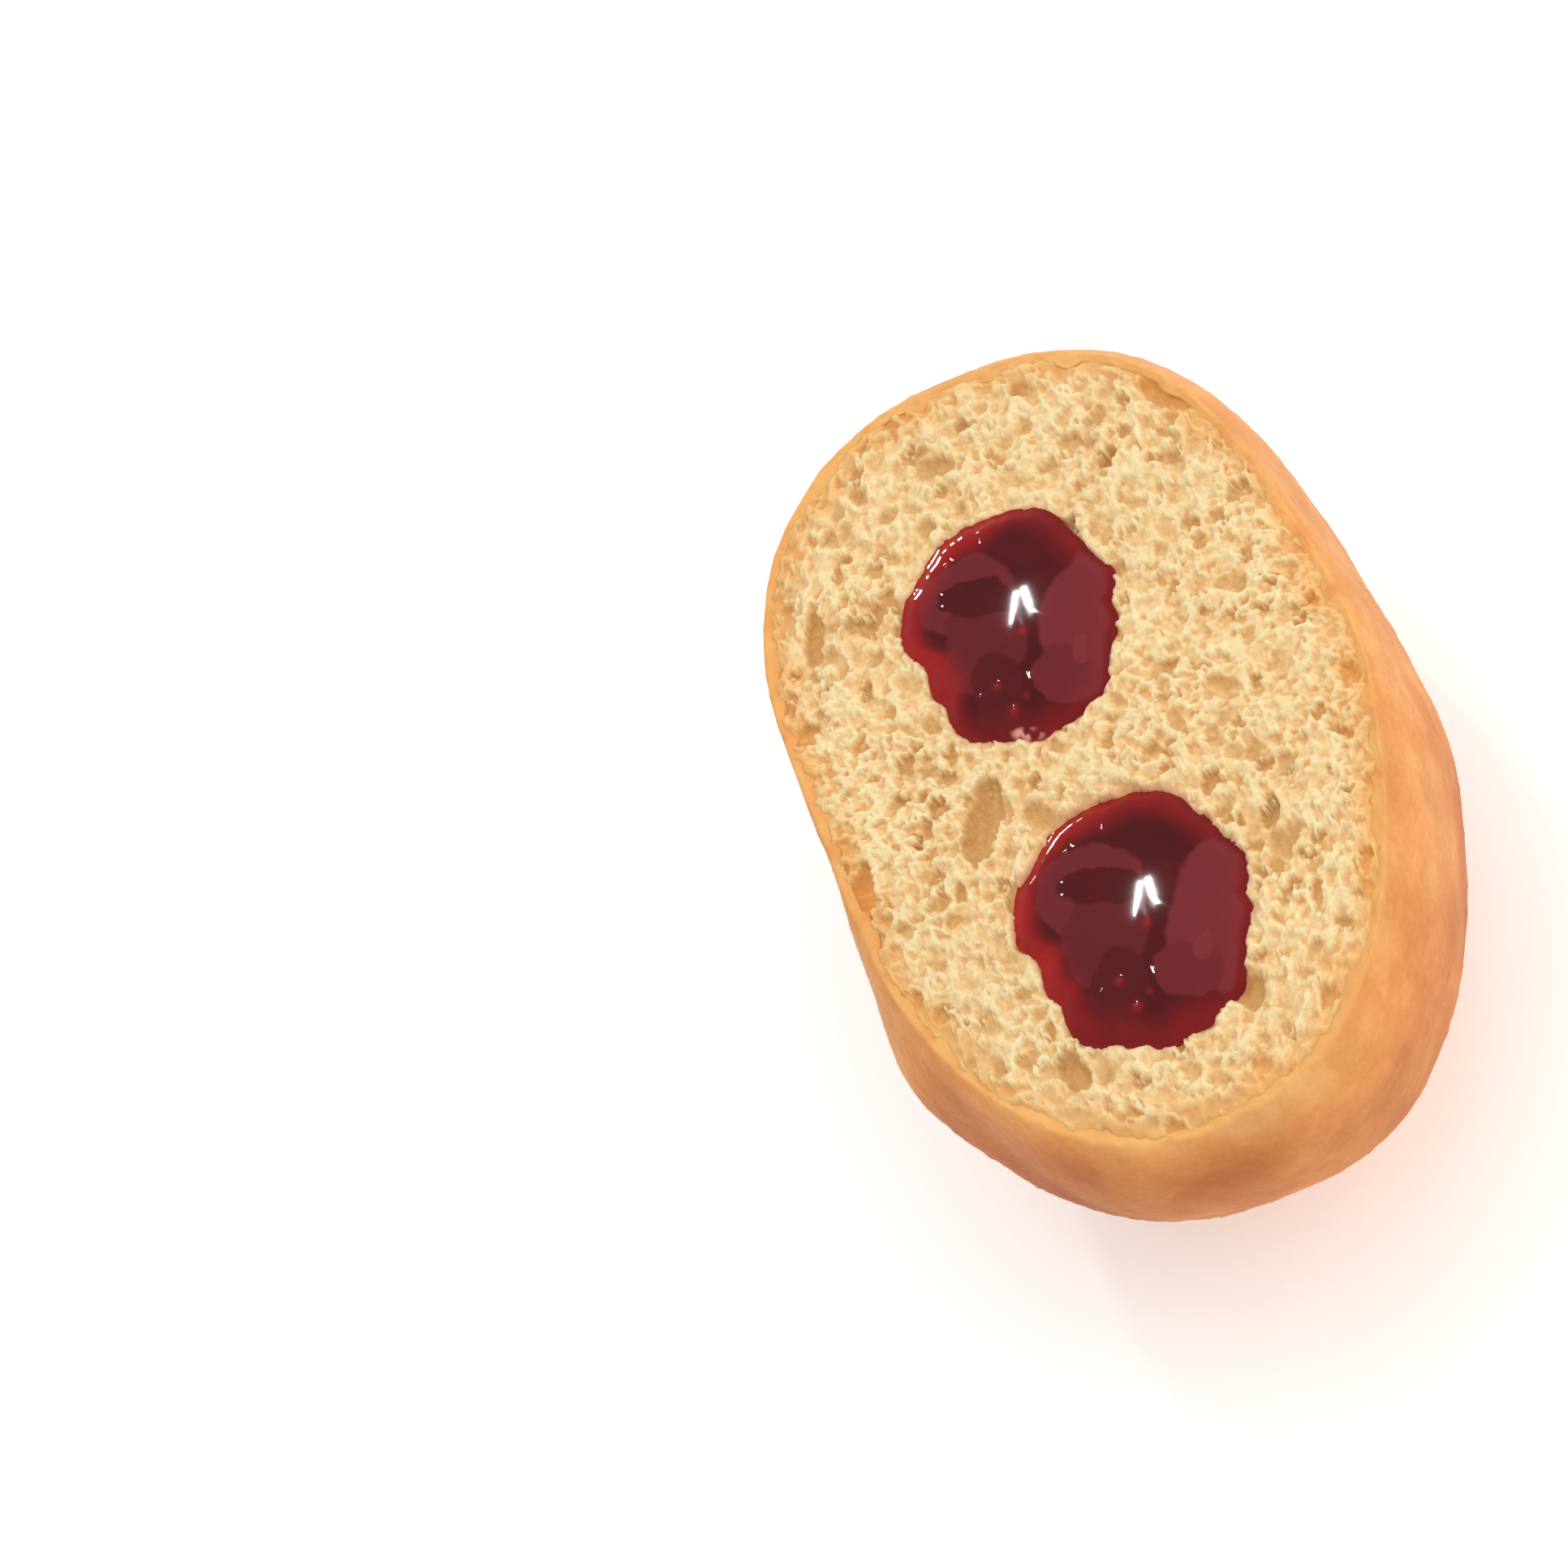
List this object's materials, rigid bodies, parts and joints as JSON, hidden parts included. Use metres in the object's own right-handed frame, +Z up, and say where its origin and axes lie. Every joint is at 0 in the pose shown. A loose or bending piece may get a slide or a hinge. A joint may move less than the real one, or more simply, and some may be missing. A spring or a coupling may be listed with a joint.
{
  "type": "jelly filled doughnut half",
  "caption": "Cut half of a round yeast doughnut, lying on its back with the porous cut face and its jelly pockets facing up.",
  "frame": {"origin": "on the small flat foot that the rounded back rests on, under the middle of the cut face", "axes": "+X along the length of the cut face, from the smaller jelly pocket to the larger one; +Y along the height that the whole doughnut had; +Z up, out of the cut face"},
  "size_m": [0.0921, 0.0599, 0.05],
  "materials": {
    "crust": "satin golden-brown fried crust with a pale band round the middle",
    "crumb": "matt pale yellow open crumb",
    "jelly": "wet gloss, deep red, clear at thin edges"
  },
  "bodies": {
    "root": {"dough": "crust", "jelly_upper": "jelly", "jelly_lower": "jelly"}
  },
  "joints": []
}
